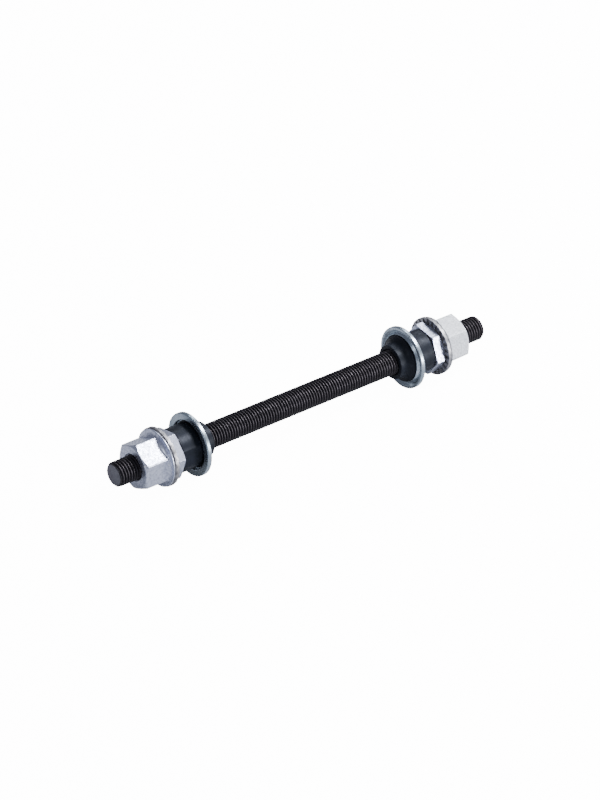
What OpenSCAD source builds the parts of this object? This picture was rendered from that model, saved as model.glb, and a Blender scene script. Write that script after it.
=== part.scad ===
// Front hub axle set of a bicycle, as it comes off the bench without its hub shell and bearings.
// A threaded rod carries, at each end and from the middle outwards: a bearing cone, the dust cap
// pressed on its flange, a thin locknut, a serrated washer and a flanged axle nut.
// The rod lies along X, Z is up and the origin is the middle of the rod.
// Every turned piece is drawn as a profile in (radius, distance outwards) and revolved.

/* [Rod] */
// Diameter over the crests of the thread
axle_d = 7.8; // [7:0.1:9]
// Pitch of the thread
thread_pitch = 0.977; // [0.9:0.001:1.5]
// Depth of the thread
thread_depth = 0.6; // [0.3:0.05:0.6]
// Width of the flat on each crest
crest_w = 0.13; // [0.08:0.01:0.2]
// Length of the rod
axle_len = 140; // [132:1:180]
// Chamfer at each end of the rod
axle_chamfer = 0.6; // [0.2:0.1:1.2]
// Free length of the rod beyond the left axle nut
left_stub = 7; // [3:0.1:15]
// Free length of the rod beyond the right axle nut
right_stub = 8.9; // [3:0.1:15]

/* [Fits and edges] */
// Lead at each mouth of a threaded bore
bore_lead = 0.5; // [0.2:0.1:0.8]
// Room between a threaded bore and the crests of the rod, on the radius
thread_gap = 0.05; // [0.02:0.01:0.09]
// Break on turned edges
edge_break = 0.15; // [0.05:0.05:0.2]

/* [Dust cap] */
// Depth over the rim
cap_depth = 1.5; // [1.3:0.05:3]
// Width of the rim's flat face and its rounded edge
cap_rim_w = 0.85; // [0.7:0.05:2]
// Width of the slope from the rim down to the trough
cap_slope_w = 0.9; // [0.4:0.05:2]
// Depth of the trough
cap_trough_depth = 0.65; // [0.2:0.05:0.75]
// Distance from the hole to the bottom of the trough
cap_trough_w = 0.85; // [0.75:0.05:1.5]
// Width of the lip round the hole
cap_lip_w = 0.3; // [0.2:0.05:0.4]
// Reach of the lip beyond the rim
cap_lip_proud = 0.1; // [0:0.05:0.5]
// Thickness of the sheet at the lip
cap_sheet = 0.5; // [0.3:0.05:0.6]
// Radius on the open edge of the rim
cap_edge_r = 0.35; // [0.1:0.05:0.5]
// Radius of the bends on the flat outer face
cap_bend_r = 0.45; // [0.2:0.05:0.5]

/* [Bearing cone] */
// Diameter of the body
cone_d = 14.1; // [12:0.1:14.2]
// Length of the body outside the dust cap
cone_body_len = 6.6; // [4:0.1:10]
// Diameter of the flange that the dust cap is pressed on
cone_flange_d = 14.9; // [14.5:0.1:16]
// Step from the flange down to the neck inside the dust cap
neck_step = 0.5; // [0.2:0.05:1]
// Diameter of the nose
nose_d = 11; // [10:0.1:12]
// Reach of the nose beyond the open rim of the dust cap
nose_reach = 4.4; // [4.4:0.1:8]
// Radius of the ball race
race_r = 3; // [2.5:0.1:3.2]
// Reach of the flange's face beyond the lip of the dust cap
flange_proud = 0.5; // [0.1:0.05:1]
// Width across the two wrench flats
cone_flats = 13; // [11:0.1:13.6]
// Length of the wrench flats
cone_flats_len = 5.1; // [3:0.1:6]
// Chamfer at the locknut end of the body
cone_chamfer = 0.4; // [0.1:0.05:0.8]
// Direction that the left cone's flats face, from +Y towards +Z
left_cone_turn = 178; // [0:1:180]
// Direction that the right cone's flats face, from +Y towards +Z
right_cone_turn = 52; // [0:1:180]

/* [Locknut] */
// Width across flats
lock_af = 14.2; // [13:0.1:17]
// Thickness
lock_t = 3.4; // [2:0.1:5]
// Diameter of the flat on its outer face
lock_outer_face_d = 14; // [12:0.1:14.6]
// Diameter of the flat on its inner face
lock_inner_face_d = 15.4; // [13:0.1:16]
// Direction of a corner of the left locknut, from +Y towards +Z
left_lock_turn = -10; // [-60:1:60]
// Direction of a corner of the right locknut, from +Y towards +Z
right_lock_turn = 9; // [-60:1:60]

/* [Serrated washer] */
// Outside diameter
washer_d = 18.6; // [17:0.1:22]
// Thickness over the teeth
washer_t = 1.4; // [1.1:0.05:2.5]
// Number of teeth
washer_teeth = 26; // [12:1:36]
// Depth of the slots between the teeth
slot_depth = 0.5; // [0.2:0.05:0.8]
// Width of the slots
slot_w = 1; // [0.6:0.05:1.2]
// Radial length of the teeth
tooth_len = 1.9; // [1:0.1:2.4]
// Break on the edge next to the axle nut
washer_back_break = 0.25; // [0.1:0.05:0.4]

/* [Axle nut] */
// Width across flats
nut_af = 13.6; // [13:0.1:16]
// Height over the flange and the hexagon
nut_h = 8.9; // [7:0.1:14]
// Diameter of the flange
flange_d = 18.2; // [17:0.1:22]
// Thickness of the flange at its rim
flange_rim_t = 0.45; // [0.4:0.05:1]
// Radius of the hollow that runs from the flange up the flats
flange_hollow_r = 2.4; // [1.6:0.1:3]
// Diameter of the flat on the outer face
nut_face_d = 13.2; // [11:0.1:14]
// Chamfer angle on the corners of both nuts
chamfer_a = 30; // [15:1:40]
// Diameter of the collar that holds the washer
collar_d = 10.8; // [10:0.1:11.4]
// Room round the collar, on the radius
collar_gap = 0.08; // [0.04:0.01:0.1]
// Room between the collar's end and the locknut
collar_short = 0.25; // [0.1:0.05:0.4]
// Height of the swaged lip at the collar's end
lip_t = 0.35; // [0.2:0.05:0.5]
// Width of the swaged lip beyond the collar
lip_w = 0.5; // [0.2:0.1:0.8]
// Direction of a corner of the left axle nut, from +Y towards +Z
left_nut_turn = 36; // [-60:1:60]
// Direction of a corner of the right axle nut, from +Y towards +Z
right_nut_turn = 21; // [-60:1:60]

/* [Hidden] */
$fn = 96;

axle_r = axle_d / 2;
root_r = axle_r - thread_depth;
// A groove of the thread has flanks at 60 degrees to each other.
groove_w = thread_pitch - crest_w;
root_w = groove_w - 2 * thread_depth * tan(30);
bore_r = axle_r + thread_gap;
cone_r = cone_d / 2;
flange_r = cone_flange_d / 2;
// The neck runs from the flange to the back of the dust cap, where the body starts.
neck_r = flange_r - neck_step;
cap_r = flange_r + cap_trough_w + cap_slope_w + cap_rim_w;
// Inside the dust cap, the lip's back and the flange's back lie in one plane.
cap_floor = cap_sheet - cap_lip_proud;
nose_r = nose_d / 2;
washer_r = washer_d / 2;
nut_flange_r = flange_d / 2;
collar_r = collar_d / 2;

// Outwards from the open rim of the dust cap, each piece starts where the one before it ends.
lock_at = cap_depth + cone_body_len;
washer_at = lock_at + lock_t;
nut_at = washer_at + washer_t;
stack_len = nut_at + nut_h;

// Middle of the rod to the open rim of each dust cap
left_cap_at = axle_len / 2 - left_stub - stack_len;
right_cap_at = axle_len / 2 - right_stub - stack_len;

// How far a cutting shape runs past the face that it cuts.
over = 1;

black_steel = [0.13, 0.13, 0.15];
zinc = [0.80, 0.82, 0.85];
dull_zinc = [0.50, 0.51, 0.53];

// Points of an arc about (cx, cy), from angle a0 to a1 in equal steps.
function arc(cx, cy, r, a0, a1, steps) =
    [for (i = [0:steps]) let (a = a0 + (a1 - a0) * i / steps) [cx + r * cos(a), cy + r * sin(a)]];

// Points of one groove of the thread, whose middle is at z.
function thread_groove(z) = [
    [axle_r, z - groove_w / 2],
    [root_r, z - root_w / 2],
    [root_r, z + root_w / 2],
    [axle_r, z + groove_w / 2],
];

// Places a piece drawn along +Z so that its +Z points outwards at one end of the rod.
module right_side(at = 0, turn = 0) {
    translate([right_cap_at + at, 0, 0])
        rotate([turn, 0, 0])
            rotate([90, 0, 90])
                children();
}

module left_side(at = 0, turn = 0) {
    mirror([1, 0, 0])
        translate([left_cap_at + at, 0, 0])
            rotate([turn, 0, 0])
                rotate([90, 0, 90])
                    children();
}

// A hexagon of a width across flats, whose corners are turned to a chamfer on each face.
module chamfered_hexagon(af, h, inner_face_d, outer_face_d) {
    corner_d = af / cos(30);
    reach = corner_d / 2 + over;
    slope = tan(chamfer_a);
    intersection() {
        cylinder(h = h, d = corner_d, $fn = 6);
        rotate_extrude()
            polygon([
                [0, 0],
                [inner_face_d / 2, 0],
                [reach, (reach - inner_face_d / 2) * slope],
                [reach, h - (reach - outer_face_d / 2) * slope],
                [outer_face_d / 2, h],
                [0, h],
            ]);
    }
}

// What is taken out of a nut that runs from z0 to z1: the bore, with a lead at each mouth.
module threaded_bore(z0, z1) {
    rotate_extrude()
        polygon([
            [0, z0 - over],
            [bore_r + bore_lead + over, z0 - over],
            [bore_r, z0 + bore_lead],
            [bore_r, z1 - bore_lead],
            [bore_r + bore_lead + over, z1 + over],
            [0, z1 + over],
        ]);
}

// The rod, with a chamfer at each end. Its thread is drawn as closed rings of the true section,
// one pitch apart, and not as a screw.
module axle() {
    half = axle_len / 2;
    grooves = floor((axle_len - 2 * axle_chamfer - groove_w) / thread_pitch) + 1;
    first = -(grooves - 1) / 2 * thread_pitch;
    color(black_steel)
        rotate([0, 90, 0])
            rotate_extrude()
                polygon(concat(
                    [[0, -half], [axle_r - axle_chamfer, -half], [axle_r, axle_chamfer - half]],
                    [for (i = [0:grooves - 1]) each thread_groove(first + i * thread_pitch)],
                    [[axle_r, half - axle_chamfer], [axle_r - axle_chamfer, half], [0, half]]
                ));
}

// Pressed steel dish: a rim, a slope down to a trough, and a crown that rises again to the lip of
// the hole. The hole is pressed on the cone's flange.
module dust_cap() {
    trough_r = flange_r + cap_trough_w;
    crown_r = flange_r + cap_lip_w;
    color(zinc)
        rotate_extrude()
            polygon(concat(
                [[flange_r, edge_break - cap_lip_proud], [flange_r + edge_break, -cap_lip_proud]],
                [[crown_r, -cap_lip_proud], [trough_r, cap_trough_depth]],
                [[trough_r + cap_slope_w, 0]],
                arc(cap_r - cap_edge_r, cap_edge_r, cap_edge_r, -90, 0, 5),
                arc(cap_r - cap_bend_r, cap_depth - cap_bend_r, cap_bend_r, 0, 90, 5),
                arc(crown_r + cap_bend_r, cap_depth - cap_bend_r, cap_bend_r, 90, 180, 5),
                [[crown_r, cap_floor], [flange_r, cap_floor]]
            ));
}

// Turned cone: a nose, the hollow race that the balls run in, the flange, a neck inside the dust
// cap, and the body with two flats milled for a thin wrench.
module cone() {
    top = lock_at;
    face = -cap_lip_proud - flange_proud;
    race_centre_r = nose_r + race_r;
    race_end = acos((flange_r - edge_break - race_centre_r) / race_r);
    race_centre_z = face - race_r * sin(race_end);
    nose_z = -nose_reach;
    color(black_steel)
        difference() {
            rotate_extrude()
                polygon(concat(
                    [[bore_r, nose_z + bore_lead], [bore_r + bore_lead, nose_z]],
                    [[nose_r - 2 * edge_break, nose_z], [nose_r, nose_z + 2 * edge_break]],
                    arc(race_centre_r, race_centre_z, race_r, 180, race_end, 10),
                    [[flange_r, face + edge_break], [flange_r, cap_floor], [neck_r, cap_floor]],
                    [[neck_r, cap_depth], [cone_r, cap_depth]],
                    [[cone_r, top - cone_chamfer], [cone_r - cone_chamfer, top]],
                    [[bore_r + bore_lead, top], [bore_r, top - bore_lead]]
                ));
            for (a = [0, 180])
                rotate([0, 0, a])
                    translate([cone_flats / 2, -cone_r, top - cone_flats_len])
                        cube([cone_r, cone_d, cone_flats_len + over]);
        }
}

// Thin hexagon nut that locks the cone.
module locknut() {
    color(zinc)
        difference() {
            chamfered_hexagon(lock_af, lock_t, lock_inner_face_d, lock_outer_face_d);
            threaded_bore(0, lock_t);
        }
}

// Ring that turns on the axle nut's collar. Square teeth stand round the rim of its inner face,
// and the lip of the collar lies in a recess of that face.
module washer() {
    hole_r = collar_r + collar_gap;
    recess_r = collar_r + lip_w + 2 * collar_gap;
    recess_t = collar_short + lip_t + collar_gap;
    color(dull_zinc)
        difference() {
            rotate_extrude()
                polygon([
                    [recess_r, 0],
                    [washer_r - edge_break, 0],
                    [washer_r, edge_break],
                    [washer_r, washer_t - washer_back_break],
                    [washer_r - washer_back_break, washer_t],
                    [hole_r, washer_t],
                    [hole_r, recess_t],
                    [recess_r, recess_t],
                ]);
            for (i = [0:washer_teeth - 1])
                rotate([0, 0, 360 * i / washer_teeth])
                    translate([washer_r - tooth_len, -slot_w / 2, -over])
                        cube([tooth_len + over, slot_w, slot_depth + over]);
        }
}

// Axle nut: a hexagon that runs out in a hollow curve to a round flange. A collar inside the
// flange passes through the washer, and its swaged lip keeps the washer on the nut.
module axle_nut() {
    hollow_centre_r = nut_flange_r - edge_break;
    hollow_top = flange_rim_t + flange_hollow_r;
    collar_end = collar_short - washer_t;
    color(zinc)
        difference() {
            union() {
                chamfered_hexagon(nut_af, nut_h, nut_af / cos(30), nut_face_d);
                rotate_extrude()
                    polygon(concat(
                        [[0, 0], [nut_flange_r - edge_break, 0], [nut_flange_r, edge_break]],
                        [[nut_flange_r, flange_rim_t - edge_break]],
                        arc(hollow_centre_r, hollow_top, flange_hollow_r, -90, -180, 10),
                        [[0, hollow_top]]
                    ));
                rotate_extrude()
                    polygon([
                        [0, collar_end],
                        [collar_r + lip_w - edge_break, collar_end],
                        [collar_r + lip_w, collar_end + edge_break],
                        [collar_r + lip_w, collar_end + lip_t],
                        [collar_r, collar_end + lip_t],
                        [collar_r, flange_rim_t],
                        [0, flange_rim_t],
                    ]);
            }
            threaded_bore(collar_end, nut_h);
        }
}

module left_cone() {
    left_side(0, left_cone_turn)
        cone();
}

module left_dust_cap() {
    left_side()
        dust_cap();
}

module left_locknut() {
    left_side(lock_at, left_lock_turn)
        locknut();
}

module left_washer() {
    left_side(washer_at)
        washer();
}

module left_axle_nut() {
    left_side(nut_at, left_nut_turn)
        axle_nut();
}

module right_cone() {
    right_side(0, right_cone_turn)
        cone();
}

module right_dust_cap() {
    right_side()
        dust_cap();
}

module right_locknut() {
    right_side(lock_at, right_lock_turn)
        locknut();
}

module right_washer() {
    right_side(washer_at)
        washer();
}

module right_axle_nut() {
    right_side(nut_at, right_nut_turn)
        axle_nut();
}

axle();
left_cone();
left_dust_cap();
left_locknut();
left_washer();
left_axle_nut();
right_cone();
right_dust_cap();
right_locknut();
right_washer();
right_axle_nut();
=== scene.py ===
# %% [markdown]
# # A front hub axle set
# The part is already built and packed as solids in millimetres. This lesson dresses it: every
# piece that the eye meets is modelled again with softened edges, the rod gets its real screw
# thread, and each finish is a small network of shader nodes. Blender works here in metres, in the
# frame of the solids: the rod lies along X, Z is up, and the origin is the middle of the rod.

# %% Load the solids
import math

import bmesh
import bpy
from mathutils import Matrix, Vector


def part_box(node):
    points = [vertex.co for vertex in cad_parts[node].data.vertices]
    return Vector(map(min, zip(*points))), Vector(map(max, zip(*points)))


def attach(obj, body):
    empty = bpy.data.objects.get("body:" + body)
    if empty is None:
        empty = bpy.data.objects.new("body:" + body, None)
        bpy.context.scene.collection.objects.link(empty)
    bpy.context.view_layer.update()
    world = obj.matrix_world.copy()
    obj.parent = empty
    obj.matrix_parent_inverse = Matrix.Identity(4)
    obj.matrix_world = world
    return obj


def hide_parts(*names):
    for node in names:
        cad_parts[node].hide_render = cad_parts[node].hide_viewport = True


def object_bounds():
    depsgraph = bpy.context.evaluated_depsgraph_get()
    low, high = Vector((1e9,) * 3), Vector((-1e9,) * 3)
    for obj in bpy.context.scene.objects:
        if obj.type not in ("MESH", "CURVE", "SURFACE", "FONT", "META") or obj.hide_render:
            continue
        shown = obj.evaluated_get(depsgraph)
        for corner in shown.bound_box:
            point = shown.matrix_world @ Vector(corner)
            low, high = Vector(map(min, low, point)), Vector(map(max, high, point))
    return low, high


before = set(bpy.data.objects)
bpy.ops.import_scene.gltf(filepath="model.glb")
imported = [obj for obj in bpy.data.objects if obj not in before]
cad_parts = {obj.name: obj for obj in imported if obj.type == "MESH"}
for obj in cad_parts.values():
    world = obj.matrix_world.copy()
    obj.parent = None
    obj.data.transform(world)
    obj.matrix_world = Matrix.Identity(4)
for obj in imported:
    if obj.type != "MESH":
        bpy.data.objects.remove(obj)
cad_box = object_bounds()
print("solids:", sorted(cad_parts))

# %% [markdown]
# ## Where the pieces sit
# Both ends of the rod carry the same stack, so every piece is placed by its distance outwards from
# the open rim of the dust cap. The places of the two dust caps are read from the solids, so the
# pieces stay where the solids are: the lip round a cap's hole is what reaches furthest inwards, a
# tenth of a millimetre beyond its rim.

# %% Sides and places
MM = 0.001
LIP_PROUD = 0.1
RIM = {
    "left": -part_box("left_dust_cap")[1].x / MM + LIP_PROUD,
    "right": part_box("right_dust_cap")[0].x / MM + LIP_PROUD,
}
AWAY = {"left": -1.0, "right": 1.0}
LOCK_AT, WASHER_AT, NUT_AT = 8.1, 11.5, 12.9
print("rims of the dust caps in mm:", {s: round(r, 3) for s, r in RIM.items()})

# %% [markdown]
# ## The camera
# A photograph fixes the viewpoint: the shapes of the round rims give the direction, and the way
# the near end looks larger than the far one gives the distance. This one looks down by about
# thirty degrees from the left, with a long lens more than a metre away.

# %% Camera
LONG_SIDE_PX = 800
FOCAL_PX = 3831.5
DISTANCE = 1.1588
azimuth, elevation = math.radians(-38.33), math.radians(31.08)

sight = Vector((math.sin(azimuth) * math.cos(elevation),
                -math.cos(azimuth) * math.cos(elevation),
                math.sin(elevation)))
right = Vector((math.cos(azimuth), math.sin(azimuth), 0.0))
up = sight.cross(right)

lens = bpy.data.cameras.new("camera")
lens.sensor_width = 36.0
lens.lens = FOCAL_PX * lens.sensor_width / LONG_SIDE_PX
camera = bpy.data.objects.new("camera", lens)
bpy.context.scene.collection.objects.link(camera)
px = DISTANCE / FOCAL_PX
camera.matrix_world = Matrix.Translation(sight * DISTANCE - right * 0.93 * px - up * 1.16 * px) @ \
    Matrix((right, up, sight)).transposed().to_4x4()
bpy.context.scene.camera = camera
print(f"lens {lens.lens:.1f} mm at {DISTANCE:.3f} m")

# %% [markdown]
# ## Floor and light
# Bright metal shows what stands round it. A small thing like this is photographed in a light
# tent: a white floor and large soft lamps, with darker gaps between them that give the metal its
# shape. The paper is lit up to pure white where the camera looks at it, as such a picture is
# exposed, while the metal sees plain paper with a faint glow. It is part of the stage, not the
# object.

# %% Floor
floor_mesh = bpy.data.meshes.new("floor")
bm = bmesh.new()
bmesh.ops.create_grid(bm, x_segments=1, y_segments=1, size=3.0)
bmesh.ops.translate(bm, verts=bm.verts, vec=(0, 0, cad_box[0].z))
bm.to_mesh(floor_mesh)
bm.free()
floor = bpy.data.objects.new("floor", floor_mesh)
bpy.context.scene.collection.objects.link(floor)

paper = bpy.data.materials.new("white_paper")
paper.use_nodes = True
paper_shader = paper.node_tree.nodes["Principled BSDF"]
paper_shader.inputs["Base Color"].default_value = (0.42, 0.43, 0.46, 1)
paper_shader.inputs["Roughness"].default_value = 0.9
paper_shader.inputs["Specular IOR Level"].default_value = 0.0
paper_shader.inputs["Emission Color"].default_value = (1, 1, 1, 1)
seen_directly = paper.node_tree.nodes.new("ShaderNodeLightPath").outputs["Is Camera Ray"]
glow = paper.node_tree.nodes.new("ShaderNodeMath")
glow.operation = "MULTIPLY_ADD"
glow.inputs[1].default_value = 14.0
glow.inputs[2].default_value = 0.12
paper.node_tree.links.new(seen_directly, glow.inputs[0])
paper.node_tree.links.new(glow.outputs[0], paper_shader.inputs["Emission Strength"])
floor_mesh.materials.append(paper)

# %% Lamps
def lamp(name, place, size, power, tint=(1, 1, 1)):
    """A soft square lamp that faces the object."""
    data = bpy.data.lights.new(name, "AREA")
    data.shape = "RECTANGLE"
    data.size, data.size_y = size
    data.energy = power
    data.color = tint
    obj = bpy.data.objects.new(name, data)
    bpy.context.scene.collection.objects.link(obj)
    obj.location = place
    obj.rotation_euler = Vector(place).to_track_quat("Z", "Y").to_euler()
    return obj


lamps = [
    lamp("lamp_overhead", (0.36, -0.17, 0.55), (0.26, 0.16), 9.0),
    lamp("lamp_low_front", (0.42, -0.68, 0.06), (0.22, 0.10), 7.0),
    lamp("lamp_left", (-0.62, -0.30, 0.42), (0.20, 0.20), 1.0, (0.93, 0.96, 1.0)),
    lamp("lamp_back", (0.45, 0.42, 0.60), (0.24, 0.24), 2.0, (0.93, 0.96, 1.0)),
]

sky = bpy.data.worlds.new("tent")
sky.use_nodes = True
sky.node_tree.nodes["Background"].inputs["Color"].default_value = (0.84, 0.87, 1.0, 1)
sky.node_tree.nodes["Background"].inputs["Strength"].default_value = 0.30
bpy.context.scene.world = sky
print("lamps:", [l.name for l in lamps])

# %% [markdown]
# ## Shader groups that the finishes share
# Every piece here is steel, so the finishes share their flaws: the cloudy look of plating, the fine
# rings that a lathe tool leaves, and edges painted brighter than the faces between them, partly as
# rubbed wear and partly as a painted highlight. Each is built once as a node group, which puts out
# only masks and heights, and every material sets its own strength.

# %% Helpers for nodes
def node(tree, kind, at=(0, 0), **inputs):
    """Adds a node to a tree and sets its unlinked inputs by name."""
    made = tree.nodes.new(kind)
    made.location = at
    for name, value in inputs.items():
        made.inputs[name.replace("_", " ")].default_value = value
    return made


def maths(tree, operation, first, second=None, clamp=False):
    """A Math node. A number is set on its socket, and a socket is linked to it."""
    made = tree.nodes.new("ShaderNodeMath")
    made.operation = operation
    made.use_clamp = clamp
    for socket, value in zip(made.inputs, (first, second)):
        if isinstance(value, (int, float)):
            socket.default_value = value
        elif value is not None:
            tree.links.new(value, socket)
    return made.outputs[0]


def remap(tree, value, low, high, to_low, to_high):
    """Spreads a value from one range over another, and holds it there."""
    made = tree.nodes.new("ShaderNodeMapRange")
    made.inputs["From Min"].default_value = low
    made.inputs["From Max"].default_value = high
    made.inputs["To Min"].default_value = to_low
    made.inputs["To Max"].default_value = to_high
    tree.links.new(value, made.inputs["Value"])
    return made.outputs["Result"]


def blend_colours(tree, share, first, second):
    """Mixes two colours by a mask. Each is a colour or a socket."""
    made = tree.nodes.new("ShaderNodeMix")
    made.data_type = "RGBA"
    tree.links.new(share, made.inputs["Factor"])
    for name, value in (("A", first), ("B", second)):
        socket = next(s for s in made.inputs if s.name == name and s.type == "RGBA")
        if isinstance(value, tuple):
            socket.default_value = (*value, 1)
        else:
            tree.links.new(value, socket)
    return next(s for s in made.outputs if s.type == "RGBA")


def new_group(name, takes, gives):
    """An empty node group with named sockets, as its tree, its input sockets and its output node."""
    tree = bpy.data.node_groups.new(name, "ShaderNodeTree")
    for socket, kind in takes:
        tree.interface.new_socket(socket, in_out="INPUT", socket_type=kind)
    for socket, kind in gives:
        tree.interface.new_socket(socket, in_out="OUTPUT", socket_type=kind)
    return tree, tree.nodes.new("NodeGroupInput").outputs, tree.nodes.new("NodeGroupOutput").inputs


# %% Cloudy plating
clouds, takes, gives = new_group(
    "plating_clouds",
    [("Vector", "NodeSocketVector"), ("Scale", "NodeSocketFloat")],
    [("Cloud", "NodeSocketFloat"), ("Grain", "NodeSocketFloat")])
broad = node(clouds, "ShaderNodeTexNoise", Detail=4.0, Roughness=0.62)
clouds.links.new(takes["Vector"], broad.inputs["Vector"])
clouds.links.new(takes["Scale"], broad.inputs["Scale"])
clouds.links.new(remap(clouds, broad.outputs[0], 0.36, 0.64, 0.0, 1.0), gives["Cloud"])
fine = node(clouds, "ShaderNodeTexNoise", Detail=3.0, Roughness=0.7)
clouds.links.new(takes["Vector"], fine.inputs["Vector"])
clouds.links.new(maths(clouds, "MULTIPLY", takes["Scale"], 11.0), fine.inputs["Scale"])
clouds.links.new(fine.outputs[0], gives["Grain"])

# %% Rings left by the lathe
rings, takes, gives = new_group(
    "lathe_rings",
    [("Vector", "NodeSocketVector"), ("Rings per metre", "NodeSocketFloat")],
    [("Height", "NodeSocketFloat")])
axes = node(rings, "ShaderNodeSeparateXYZ")
rings.links.new(takes["Vector"], axes.inputs[0])
squares = maths(rings, "ADD",
                maths(rings, "MULTIPLY", axes.outputs["Y"], axes.outputs["Y"]),
                maths(rings, "MULTIPLY", axes.outputs["Z"], axes.outputs["Z"]))
from_axis = maths(rings, "SQRT", squares)
place_on_profile = maths(rings, "ADD", from_axis, maths(rings, "MULTIPLY", axes.outputs["X"], 0.83))
tool_path = node(rings, "ShaderNodeTexNoise", Scale=1.0, Detail=2.0, Roughness=0.75)
tool_path.noise_dimensions = "1D"
rings.links.new(maths(rings, "MULTIPLY", place_on_profile, takes["Rings per metre"]),
                tool_path.inputs["W"])
rings.links.new(tool_path.outputs[0], gives["Height"])

# %% Rubbed edges and painted highlights
rubbed_and_highlight, takes, gives = new_group(
    "rubbed_edges_and_highlights",
    [("Vector", "NodeSocketVector"), ("Pointiness", "NodeSocketFloat"),
     ("Start", "NodeSocketFloat"), ("Full", "NodeSocketFloat")],
    [("Mask", "NodeSocketFloat")])
ragged = node(rubbed_and_highlight, "ShaderNodeTexNoise", Scale=900.0, Detail=3.0, Roughness=0.6)
rubbed_and_highlight.links.new(takes["Vector"], ragged.inputs["Vector"])
sharpness = maths(rubbed_and_highlight, "ADD", takes["Pointiness"],
                  remap(rubbed_and_highlight, ragged.outputs[0], 0.3, 0.7, -0.008, 0.008))
ramp = rubbed_and_highlight.nodes.new("ShaderNodeMapRange")
rubbed_and_highlight.links.new(sharpness, ramp.inputs["Value"])
rubbed_and_highlight.links.new(takes["Start"], ramp.inputs["From Min"])
rubbed_and_highlight.links.new(takes["Full"], ramp.inputs["From Max"])
rubbed_and_highlight.links.new(ramp.outputs["Result"], gives["Mask"])
print("groups:", [g.name for g in bpy.data.node_groups])

# %% Helper for a steel finish
def steel(name, metallic, bare, cloud, edge, rough, cloud_scale=260.0, rings_high=0.0,
          ring_count=9000.0, grain_high=0.06, edge_at=(0.548, 0.60), edge_rough=0.25):
    """A finish on steel: its colour, its cloudy patches, its rubbed edges with a painted highlight, rings
    and grain.
    """
    material = bpy.data.materials.new(name)
    material.use_nodes = True
    tree = material.node_tree
    shader = tree.nodes["Principled BSDF"]
    shader.inputs["Metallic"].default_value = metallic
    here = tree.nodes.new("ShaderNodeTexCoord").outputs["Object"]
    skin = tree.nodes.new("ShaderNodeGroup")
    skin.node_tree = clouds
    skin.inputs["Scale"].default_value = cloud_scale
    tree.links.new(here, skin.inputs["Vector"])
    edges = tree.nodes.new("ShaderNodeGroup")
    edges.node_tree = rubbed_and_highlight
    edges.inputs["Start"].default_value, edges.inputs["Full"].default_value = edge_at
    tree.links.new(here, edges.inputs["Vector"])
    tree.links.new(tree.nodes.new("ShaderNodeNewGeometry").outputs["Pointiness"],
                   edges.inputs["Pointiness"])
    colour = blend_colours(tree, skin.outputs["Cloud"], bare, cloud)
    # Sharp edges are painted brighter: partly rubbed wear, partly a painted highlight.
    colour = blend_colours(tree, edges.outputs["Mask"], colour, edge)
    tree.links.new(colour, shader.inputs["Base Color"])
    dullness = remap(tree, skin.outputs["Cloud"], 0.0, 1.0, *rough)
    dullness = maths(tree, "ADD", dullness, remap(tree, skin.outputs["Grain"], 0.3, 0.7, -0.04, 0.04))
    kept = maths(tree, "SUBTRACT", 1.0, edges.outputs["Mask"])
    dullness = maths(tree, "ADD", maths(tree, "MULTIPLY", dullness, kept),
                     maths(tree, "MULTIPLY", edges.outputs["Mask"], edge_rough))
    tree.links.new(dullness, shader.inputs["Roughness"])
    marks = tree.nodes.new("ShaderNodeGroup")
    marks.node_tree = rings
    marks.inputs["Rings per metre"].default_value = ring_count
    tree.links.new(here, marks.inputs["Vector"])
    high = maths(tree, "ADD", maths(tree, "MULTIPLY", marks.outputs["Height"], rings_high),
                 maths(tree, "MULTIPLY", skin.outputs["Grain"], grain_high))
    bump = node(tree, "ShaderNodeBump", Strength=1.0, Distance=0.00005)
    tree.links.new(high, bump.inputs["Height"])
    tree.links.new(bump.outputs["Normal"], shader.inputs["Normal"])
    return material, tree, shader, colour


# %% [markdown]
# ## Finishes
# Zinc plate is a thin bright skin. On the nuts it is satin, nearly white with faint lilac patches;
# the pressed dust caps are smoother and bluer; the washers are duller and greyer. The cones are
# blackened steel, where only the sheen shows their shape. The rod's thread is black in its
# grooves, its crests are painted a dim grey, partly as rubbed wear and partly as a painted highlight,
# and its two ends are plain grey from the saw.

# %% Finishes
# The fifth colour of each finish is its edge colour: rubbed wear and a painted highlight.
satin_zinc, *_ = steel("satin_zinc", 0.92, (0.64, 0.68, 0.82), (0.38, 0.41, 0.53), (0.92, 0.93, 0.97),
                       (0.28, 0.42), cloud_scale=1400.0, rings_high=0.15, grain_high=0.15)
matt_zinc, *_ = steel("matt_zinc", 0.75, (0.61, 0.63, 0.68), (0.38, 0.40, 0.44), (0.84, 0.84, 0.86),
                      (0.46, 0.58), cloud_scale=2200.0, rings_high=0.15, grain_high=0.45)
bright_zinc, *_ = steel("bright_zinc", 0.95, (0.38, 0.44, 0.51), (0.27, 0.33, 0.39), (0.46, 0.52, 0.60),
                        (0.24, 0.36), cloud_scale=300.0, rings_high=0.25)
dull_zinc, *_ = steel("dull_zinc", 0.9, (0.21, 0.21, 0.225), (0.12, 0.12, 0.135), (0.30, 0.30, 0.32),
                      (0.46, 0.58), edge_rough=0.45, cloud_scale=900.0)
black_steel, _, black_shader, _ = steel("black_steel", 0.25, (0.013, 0.016, 0.025), (0.008, 0.010, 0.015),
                                        (0.017, 0.020, 0.030), (0.40, 0.52), rings_high=0.3, edge_rough=0.45)
black_shader.inputs["Specular IOR Level"].default_value = 0.12
black_thread, thread_tree, thread_shader, thread_colour = steel(
    "black_thread", 0.75, (0.036, 0.034, 0.042), (0.024, 0.023, 0.028), (0.05, 0.045, 0.045),
    (0.46, 0.58), edge_rough=0.55, cloud_scale=300.0)
thread_shader.inputs["Specular IOR Level"].default_value = 0.3
print("finishes:", [m.name for m in bpy.data.materials])
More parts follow.
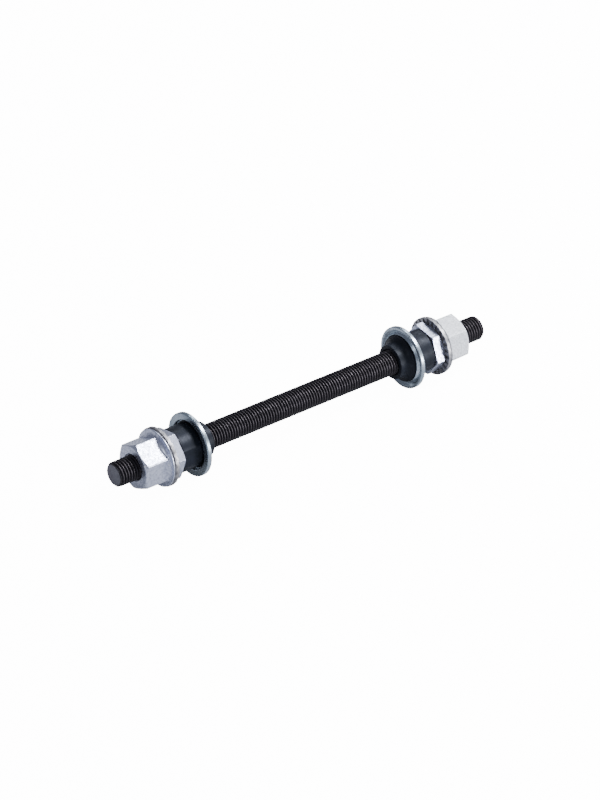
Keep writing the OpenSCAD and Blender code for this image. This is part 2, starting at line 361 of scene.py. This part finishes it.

# %% Rubbed crests of the thread, with a painted highlight
CREST_R, ROOT_R = 3.9, 3.3
here = thread_tree.nodes.new("ShaderNodeTexCoord").outputs["Object"]
axes = node(thread_tree, "ShaderNodeSeparateXYZ")
thread_tree.links.new(here, axes.inputs[0])
squares = maths(thread_tree, "ADD",
                maths(thread_tree, "MULTIPLY", axes.outputs["Y"], axes.outputs["Y"]),
                maths(thread_tree, "MULTIPLY", axes.outputs["Z"], axes.outputs["Z"]))
from_axis = maths(thread_tree, "SQRT", squares)
on_crest = remap(thread_tree, from_axis, (CREST_R - 0.16) * MM, (CREST_R - 0.02) * MM, 0.0, 1.0)
before_end = maths(thread_tree, "LESS_THAN", maths(thread_tree, "ABSOLUTE", axes.outputs["X"]), 0.0694)
crest = maths(thread_tree, "MULTIPLY", on_crest, before_end)
# The crests are painted a lighter grey: rubbed wear and a painted highlight.
crest_wear_and_highlight = blend_colours(thread_tree, crest, thread_colour, (0.058, 0.052, 0.060))
on_face = maths(thread_tree, "GREATER_THAN", maths(thread_tree, "ABSOLUTE", axes.outputs["X"]), 0.06995)
sawn = blend_colours(thread_tree, on_face, crest_wear_and_highlight, (0.125, 0.125, 0.15))
thread_tree.links.new(sawn, thread_shader.inputs["Base Color"])

# %% [markdown]
# ## The rod and its thread
# The real rod is rolled: 26 crests to the inch, 7.8 mm across. A screw thread is one short
# profile, as long as the pitch, carried round the rod while it climbs. Spin does just that when
# it also gets a small step along the axis. One turn is enough: it is copied along the rod, twice
# as much each time, and the edges where the turns meet are merged. The ends are cut square with
# bisect_plane, closed, and tapered like the turned chamfers of the real rod.

# %% Helper for finishing a piece
def finish_piece(name, bm, cad_node, body, material, sharp_over=35.0):
    """Makes the mesh an object that stands for its solid, rides on its body and has its finish."""
    bmesh.ops.recalc_face_normals(bm, faces=bm.faces)
    open_edges = sum(not e.is_manifold for e in bm.edges)
    for face in bm.faces:
        face.smooth = True
    limit = math.radians(sharp_over)
    for edge in bm.edges:
        edge.smooth = edge.is_manifold and edge.calc_face_angle() < limit
    volume = bm.calc_volume()
    mesh = bpy.data.meshes.new(name)
    bm.to_mesh(mesh)
    bm.free()
    mesh.materials.append(material)
    obj = bpy.data.objects.new(name, mesh)
    bpy.context.scene.collection.objects.link(obj)
    even = obj.modifiers.new("even shading", "WEIGHTED_NORMAL")
    even.keep_sharp = True
    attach(obj, body)
    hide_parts(cad_node)
    print(f"{name}: {len(mesh.polygons)} faces, {volume * 1e9:.1f} mm3, {open_edges} open edges")
    return obj


def everything(bm):
    """All that a cut may touch."""
    return bm.verts[:] + bm.edges[:] + bm.faces[:]


def with_borders(faces):
    """Some faces, with their edges and vertices in a fixed order."""
    edges = dict.fromkeys(e for f in faces for e in f.edges)
    verts = dict.fromkeys(v for f in faces for v in f.verts)
    return [*faces, *edges, *verts]


# %% Rod
PITCH = 25.4 / 26
STEPS = 64
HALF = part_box("axle")[1].x / MM
CHAMFER = 0.6
CREST_W, ROOT_W = 0.13, 0.155
flank_w = (PITCH - CREST_W - ROOT_W) / 2
DOUBLINGS = 8
start = -2 ** DOUBLINGS * PITCH / 2

rod = bmesh.new()
one_thread = [
    rod.verts.new((start + x, r, 0)) for x, r in (
        (0.0, CREST_R), (CREST_W, CREST_R), (CREST_W + flank_w, ROOT_R), (PITCH - flank_w, ROOT_R),
        (PITCH, CREST_R))]
strip = [rod.edges.new(pair) for pair in zip(one_thread, one_thread[1:])]
bmesh.ops.spin(rod, geom=one_thread + strip, cent=(0, 0, 0), axis=(1, 0, 0), dvec=(PITCH / STEPS, 0, 0),
               angle=math.tau, steps=STEPS)
for doubled in range(DOUBLINGS):
    copies = bmesh.ops.duplicate(rod, geom=everything(rod))["geom"]
    bmesh.ops.translate(rod, verts=[v for v in copies if isinstance(v, bmesh.types.BMVert)],
                        vec=(2 ** doubled * PITCH, 0, 0))
bmesh.ops.remove_doubles(rod, verts=rod.verts, dist=1e-3)
for end in (-1, 1):
    for back_by in (0.0, CHAMFER / 2, CHAMFER):
        bmesh.ops.bisect_plane(rod, geom=everything(rod), dist=1e-4, clear_outer=back_by == 0.0,
                               plane_co=(end * (HALF - back_by), 0, 0), plane_no=(end, 0, 0))
bmesh.ops.remove_doubles(rod, verts=rod.verts, dist=1e-3)
bmesh.ops.holes_fill(rod, edges=[e for e in rod.edges if e.is_boundary], sides=0)
for v in rod.verts:
    radius = math.hypot(v.co.y, v.co.z)
    most = CREST_R - CHAMFER + max(0.0, HALF - abs(v.co.x))
    if radius > most:
        v.co.yz *= most / radius
bmesh.ops.scale(rod, verts=rod.verts, vec=(MM, MM, MM))
finish_piece("threaded_rod", rod, "axle", "axle", black_thread, sharp_over=25.0)

# %% [markdown]
# ## Turned blanks
# All the other pieces start on the lathe. A profile is drawn once, as corners that each have a
# small radius of their own, because no turned or pressed edge is perfectly sharp and the thin
# highlight along it is what makes metal look real. Spin carries it round the rod and closes it.
# Each piece is drawn in millimetres round the X axis and then carried to its end of the rod: the
# left end is the mirror image of the right one.

# %% Rounded profile
def rounded(corners, steps=4):
    """A closed profile of (radius, out, fillet) corners, as points with the corners turned to arcs."""
    points = []
    count = len(corners)
    for k, (r, z, fillet) in enumerate(corners):
        here = Vector((r, z))
        before = Vector(corners[k - 1][:2]) - here
        after = Vector(corners[(k + 1) % count][:2]) - here
        if fillet == 0:
            points.append(here)
            continue
        turn = before.angle(after)
        reach = min(fillet / math.tan(turn / 2), 0.42 * before.length, 0.42 * after.length)
        start, end = here + before.normalized() * reach, here + after.normalized() * reach
        for s in range(steps + 1):
            t = s / steps
            points.append((1 - t) ** 2 * start + 2 * t * (1 - t) * here + t ** 2 * end)
    return points


# %% Turning, milling and breaking edges
def turned(points, steps):
    """A blank: a closed profile of (radius, out) points, spun round the X axis.

    Each vertex keeps the number of the profile's point that it comes from.
    """
    bm = bmesh.new()
    row = bm.verts.layers.int.new("row")
    corners = [bm.verts.new((p.y, p.x, 0)) for p in points]
    for n, corner in enumerate(corners):
        corner[row] = n
    outline = [bm.edges.new(pair) for pair in zip(corners, corners[1:] + corners[:1])]
    bmesh.ops.spin(bm, geom=corners + outline, cent=(0, 0, 0), axis=(1, 0, 0), angle=math.tau,
                   steps=steps, use_merge=True)
    bmesh.ops.remove_doubles(bm, verts=bm.verts, dist=1e-4)
    return bm


def radial(angle):
    """The direction at an angle round the rod, from +Y towards +Z."""
    return Vector((0, math.cos(math.radians(angle)), math.sin(math.radians(angle))))


def mill_flat(bm, angle, distance, geom=None):
    """Cuts off what lies beyond a plane beside the rod, and gives the open edges of the cut."""
    bmesh.ops.bisect_plane(bm, geom=geom or everything(bm), dist=1e-4, clear_outer=True,
                           plane_co=radial(angle) * distance, plane_no=radial(angle))
    return [e for e in bm.edges if e.is_boundary]


def break_edges(bm, width, over, segments=3):
    """Bevels every edge that is sharper than an angle."""
    bmesh.ops.recalc_face_normals(bm, faces=bm.faces)
    limit = math.radians(over)
    sharp = [e for e in bm.edges if e.is_manifold and e.calc_face_angle() > limit]
    bmesh.ops.bevel(bm, geom=sharp, offset=width, segments=segments, profile=0.5, affect="EDGES",
                    material=-1, clamp_overlap=True)


def carry(bm, side, at, turn=0.0):
    """Takes a piece that was drawn at the origin to its place at one end of the rod."""
    bmesh.ops.rotate(bm, verts=bm.verts, cent=(0, 0, 0), matrix=Matrix.Rotation(math.radians(turn), 3, "X"))
    bmesh.ops.translate(bm, verts=bm.verts, vec=(RIM[side] + at, 0, 0))
    bmesh.ops.scale(bm, verts=bm.verts, vec=(AWAY[side] * MM, MM, MM))
    return bm


# %% [markdown]
# ## Dust caps
# A dust cap is a pressed dish of thin steel, zinc plated, that sits on the cone's flange and keeps
# grit away from the balls. From the rim it slopes down to a trough, and a crown rises again to
# the lip of the hole. It is round all over, so it needs nothing but the lathe.

# %% Dust caps
BORE_R = 3.95
CAP_R, CAP_DEPTH, CAP_EDGE_R, CAP_BEND_R = 10.05, 1.5, 0.35, 0.45
CAP_HOLE_R, CAP_LIP_W, CAP_FLOOR = 7.45, 0.3, 0.4
TROUGH_R, TROUGH_DEPTH, RIM_FACE_R = 8.3, 0.65, 9.2
crown_r = CAP_HOLE_R + CAP_LIP_W
cap_profile = rounded([
    (CAP_HOLE_R, CAP_FLOOR, 0.05), (CAP_HOLE_R, 0.1, 0.03), (CAP_HOLE_R + 0.18, -LIP_PROUD, 0.05),
    (crown_r, -LIP_PROUD, 0.12),
    (TROUGH_R, TROUGH_DEPTH, 0.12), (RIM_FACE_R, 0.0, 0.3), (CAP_R, 0.0, CAP_EDGE_R),
    (CAP_R, CAP_DEPTH, CAP_BEND_R), (crown_r, CAP_DEPTH, CAP_BEND_R), (crown_r, CAP_FLOOR, 0.1),
], 6)
for side in ("left", "right"):
    cap = carry(turned(cap_profile, 160), side, 0.0)
    finish_piece(f"{side}_dish", cap, f"{side}_dust_cap", f"{side}_cone", bright_zinc)

# %% [markdown]
# ## Cones
# The cone is turned from bar, hardened and blackened. From the middle of the hub outwards come a
# nose, the hollow race that the balls run in, a flange for the dust cap, a neck inside the cap,
# and a round body with two flats milled across it for a thin wrench. A cutter takes a flat off
# the body only: the cut leaves an open edge, and one new edge across it divides the flat from the
# small step at its foot.

# %% Cones
CONE_R, CONE_TOP, NOSE_R, NOSE_REACH, RACE_R = 7.05, 8.1, 5.5, 4.4, 3.0
FACE_OUT, NECK_R, CONE_CHAMFER = -0.6, 6.95, 0.4
FLAT_R, FLAT_LEN = 6.5, 5.1
FLATS_FACE = {"left": 178.0, "right": 52.0}
race_centre_r = NOSE_R + RACE_R
race_end = math.acos((CAP_HOLE_R - 0.15 - race_centre_r) / RACE_R)
race_centre_z = FACE_OUT - RACE_R * math.sin(race_end)
race = []
for s in range(1, 16):
    a = math.pi + (race_end - math.pi) * s / 16
    race.append((race_centre_r + RACE_R * math.cos(a), race_centre_z + RACE_R * math.sin(a), 0))
flat_foot = CONE_TOP - FLAT_LEN
cone_profile = rounded([
    (BORE_R, CONE_TOP - 0.5, 0), (BORE_R, 0.5 - NOSE_REACH, 0), (BORE_R + 0.5, -NOSE_REACH, 0.1),
    (NOSE_R, -NOSE_REACH, 0.3), (NOSE_R, race_centre_z, 0), *race,
    (race_centre_r + RACE_R * math.cos(race_end), FACE_OUT, 0.03),
    (CAP_HOLE_R, FACE_OUT, 0.1), (CAP_HOLE_R, CAP_FLOOR, 0.1), (NECK_R, CAP_FLOOR, 0.1),
    (NECK_R, CAP_DEPTH, 0.03), (CONE_R, CAP_DEPTH, 0.03), (CONE_R, flat_foot, 0),
    (CONE_R, CONE_TOP - CONE_CHAMFER, 0.12), (CONE_R - CONE_CHAMFER, CONE_TOP, 0.12),
    (BORE_R + 0.5, CONE_TOP, 0.08),
])


def mill_cone_flat(bm, angle):
    """A flat on the cone's body, which ends in a step at its foot."""
    body = [f for f in bm.faces if f.calc_center_median().x > flat_foot
            and f.calc_center_median().yz.length > FLAT_R - 0.3]
    rim = mill_flat(bm, angle, FLAT_R, with_borders(body))
    foot = dict.fromkeys(
        v for e in rim for v in e.verts
        if abs(v.co.x - flat_foot) < 1e-3 and abs(v.co.dot(radial(angle)) - FLAT_R) < 1e-3)
    across = bm.edges.new(tuple(foot))
    bmesh.ops.edgenet_fill(bm, edges=rim + [across])


for side in ("left", "right"):
    cone = turned(cone_profile, 120)
    for angle in (0.0, 180.0):
        mill_cone_flat(cone, angle)
    carry(cone, side, 0.0, FLATS_FACE[side])
    finish_piece(f"{side}_bearing_cone", cone, f"{side}_cone", f"{side}_cone", black_steel,
                 sharp_over=20.0)

# %% [markdown]
# ## Locknuts
# The thin nut is turned against the cone and holds its adjustment. It comes from hexagon bar whose
# ends are chamfered on the lathe. Here it is the other way round: a round blank with both
# chamfers, and then six flats, which cut the arcs of the chamfers by themselves.

# %% Locknuts
LOCK_AF, LOCK_T, LOCK_OUTER_R, LOCK_INNER_R = 14.2, 3.4, 7.0, 7.7
SLOPE = math.tan(math.radians(30))
COS_30 = math.cos(math.radians(30))
LOCK_CORNER = {"left": -10.0, "right": 9.0}
blank_r = LOCK_AF / 2 / COS_30 + 0.2
lock_profile = rounded([
    (BORE_R, LOCK_T - 0.5, 0), (BORE_R, 0.5, 0), (BORE_R + 0.5, 0, 0), (LOCK_INNER_R, 0, 0),
    (blank_r, (blank_r - LOCK_INNER_R) * SLOPE, 0), (blank_r, LOCK_T - (blank_r - LOCK_OUTER_R) * SLOPE, 0),
    (LOCK_OUTER_R, LOCK_T, 0), (BORE_R + 0.5, LOCK_T, 0),
])
for side in ("left", "right"):
    nut = turned(lock_profile, 96)
    for k in range(6):
        bmesh.ops.holes_fill(nut, edges=mill_flat(nut, 30 + 60 * k, LOCK_AF / 2), sides=0)
    break_edges(nut, 0.12, 25.0)
    carry(nut, side, LOCK_AT, LOCK_CORNER[side])
    finish_piece(f"{side}_thin_nut", nut, f"{side}_locknut", f"{side}_locknut", satin_zinc)

# %% [markdown]
# ## Serrated washers
# Square teeth round the rim of the washer bite into the fork end. The ring is turned as high as
# the floors of the slots, which run out a little towards the rim. Two cuts beside each slot mark
# its parallel walls, and all of the front face but the slots is then pulled up to the teeth's tops.

# %% Washers
WASHER_R, WASHER_T, TEETH, SLOT_T, SLOT_W, TOOTH_LEN = 9.3, 1.4, 26, 0.5, 1.0, 1.9
SLOT_RIM_T = 0.12
HOLE_R, RECESS_R, RECESS_T = 5.48, 6.06, 0.68
tooth_r = WASHER_R - TOOTH_LEN
washer_profile = rounded([
    (RECESS_R, SLOT_T, 0), (tooth_r, SLOT_T, 0), (WASHER_R, SLOT_RIM_T, 0),
    (WASHER_R, WASHER_T - 0.3, 0.1), (WASHER_R - 0.3, WASHER_T, 0.1),
    (HOLE_R, WASHER_T, 0), (HOLE_R, RECESS_T, 0), (RECESS_R, RECESS_T, 0),
])


def front_faces(bm, beyond):
    """The faces of the turned front, as far as they lie beyond a radius."""
    found = []
    for f in bm.faces:
        middle = f.calc_center_median()
        if middle.x < SLOT_T + 1e-3 and beyond < middle.yz.length < WASHER_R - 1e-3:
            found.append(f)
    return found


def faces_near(bm, angle, within):
    """Faces between the teeth's inner ends and the rim, near an angle."""
    near = []
    for f in front_faces(bm, tooth_r):
        middle = f.calc_center_median()
        if abs(middle.dot(radial(angle + 90))) < within and middle.dot(radial(angle)) > 0:
            near.append(f)
    return near


def make_washer():
    """A turned ring, its slots marked by cuts, and all between them pulled up to the teeth's tops."""
    bm = turned(washer_profile, TEETH * 4)
    for k in range(TEETH):
        angle = 360.0 * k / TEETH
        for wall in (-1, 1):
            patch = faces_near(bm, angle, SLOT_W)
            bmesh.ops.bisect_plane(bm, geom=with_borders(patch), dist=1e-4, plane_no=radial(angle + 90),
                                   plane_co=radial(angle + 90) * wall * SLOT_W / 2)
    slots = {f for k in range(TEETH) for f in faces_near(bm, 360.0 * k / TEETH, SLOT_W / 2)}
    front = [f for f in front_faces(bm, RECESS_R) if f not in slots]
    raised = bmesh.ops.extrude_face_region(bm, geom=front)["geom"]
    for v in raised:
        if isinstance(v, bmesh.types.BMVert):
            v.co.x = 0.0
    bmesh.ops.delete(bm, geom=front, context="FACES_KEEP_BOUNDARY")
    return bm


for side in ("left", "right"):
    washer = make_washer()
    break_edges(washer, 0.06, 50.0, segments=2)
    carry(washer, side, WASHER_AT)
    finish_piece(f"{side}_serrated_washer", washer, f"{side}_washer", f"{side}_washer",
                 dull_zinc)

# %% [markdown]
# ## Axle nuts
# The axle nut is forged: a tall hexagon that runs out in a hollow curve to a round flange. The
# hollow climbs higher up the flats than up the corners, because the corners stand further out.
# Behind the flange a collar passes through the washer and is swaged over, so that the washer
# turns freely but stays on the nut. No single cut gives this shape. So the blank is spun with the
# section of one corner, and then each of its sections is drawn in to the hexagon, with the edges
# rounded as a ball would roll round them.

# %% Section of the axle nut
NUT_AF, NUT_H, FLANGE_R, RIM_T, HOLLOW_R, FACE_R = 13.6, 8.9, 9.1, 0.45, 2.4, 6.6
COLLAR_R, COLLAR_END, LIP_T, LIP_W = 5.4, -1.15, 0.35, 0.5
NUT_CORNER = {"left": 36.0, "right": 21.0}
CORNER_R, EDGE_R, FOOT_R = 0.45, 0.2, 0.45
NUT_STEPS = 360


def chamfered_top(flat):
    """The flat, the turned chamfer and the top face, with a ball of EDGE_R rolled round the edges."""
    upper = Vector((FACE_R - EDGE_R * (1 - COS_30) / 0.5, NUT_H - EDGE_R))
    drop = (EDGE_R + (flat - EDGE_R - FACE_R) * 0.5) / COS_30
    lower = Vector((flat - EDGE_R, NUT_H - max(drop, EDGE_R)))
    if upper.x > lower.x:
        upper = lower
    sweep = [(lower, 90), (lower, 70), (lower, 50), (lower, 30), (upper, 30), (upper, 15), (upper, 0)]
    return [centre + EDGE_R * Vector((math.sin(math.radians(a)), math.cos(math.radians(a))))
            for centre, a in sweep]


def hollow_foot(flat):
    """The hollow curve from the flange up to the flat, and the small fillet where they meet."""
    centre = Vector((FLANGE_R - 0.15, RIM_T + HOLLOW_R))
    stop = math.acos((flat - centre.x) / HOLLOW_R)
    bend = 0.18
    curve = []
    for s in range(11):
        a = math.pi / 2 + (stop - bend - math.pi / 2) * s / 10
        curve.append(centre + HOLLOW_R * Vector((math.cos(a), -math.sin(a))))
    meet = Vector((flat, centre.y - HOLLOW_R * math.sin(stop)))
    above = meet + Vector((0, FOOT_R))
    for s in range(1, 6):
        t = s / 5
        curve.append((1 - t) ** 2 * curve[10] + 2 * t * (1 - t) * meet + t ** 2 * above)
    return curve


def nut_section(flat):
    """The whole section of the nut where its flat stands at a radius."""
    low = rounded([
        (BORE_R, COLLAR_END + 0.5, 0), (BORE_R + 0.5, COLLAR_END, 0),
        (COLLAR_R + LIP_W, COLLAR_END, 0.12), (COLLAR_R + LIP_W, COLLAR_END + LIP_T, 0.08),
        (COLLAR_R, COLLAR_END + LIP_T, 0), (COLLAR_R, 0, 0), (FLANGE_R - 0.25, 0, 0.1),
        (FLANGE_R, 0.17, 0.06), (FLANGE_R, RIM_T, 0.13), (FLANGE_R - 0.8, RIM_T + 0.1, 0),
    ])[:-1]
    return low + hollow_foot(flat) + chamfered_top(flat) + \
        [Vector((BORE_R + 0.5, NUT_H)), Vector((BORE_R, NUT_H - 0.5))]


# %% Drawing the blank in to a hexagon
def flat_radius(angle):
    """Radius of the hexagon's outline at an angle from a corner, with the corner rounded."""
    off = math.radians(abs((angle + 30.0) % 60.0 - 30.0))
    flat = NUT_AF / 2 / math.cos(math.radians(30) - off)
    centre = (NUT_AF / 2 - CORNER_R) / COS_30
    touch = math.atan2(CORNER_R * 0.5, centre + CORNER_R * COS_30)
    if off > touch:
        return flat
    return centre * math.cos(off) + math.sqrt(CORNER_R ** 2 - (centre * math.sin(off)) ** 2)


def make_axle_nut():
    """Spins the section of a corner, and draws each section in to the hexagon."""
    bm = turned(nut_section(flat_radius(0.0)), NUT_STEPS)
    row = bm.verts.layers.int["row"]
    sections = {}
    for v in bm.verts:
        step = round(math.degrees(math.atan2(v.co.z, v.co.y)) * NUT_STEPS / 360.0) % NUT_STEPS
        angle = step * 360.0 / NUT_STEPS
        if step not in sections:
            sections[step] = nut_section(flat_radius(angle))
        place = sections[step][v[row]]
        v.co = radial(angle) * place.x + Vector((place.y, 0, 0))
    return bm


for side, finish in (("left", satin_zinc), ("right", matt_zinc)):
    nut = carry(make_axle_nut(), side, NUT_AT, NUT_CORNER[side])
    finish_piece(f"{side}_flanged_nut", nut, f"{side}_axle_nut", f"{side}_axle_nut", finish)

# %% [markdown]
# ## Close
# The box of the solids is printed, in millimetres.

# %% Close
print("solids ", [round(x / MM, 3) for c in cad_box for x in c])
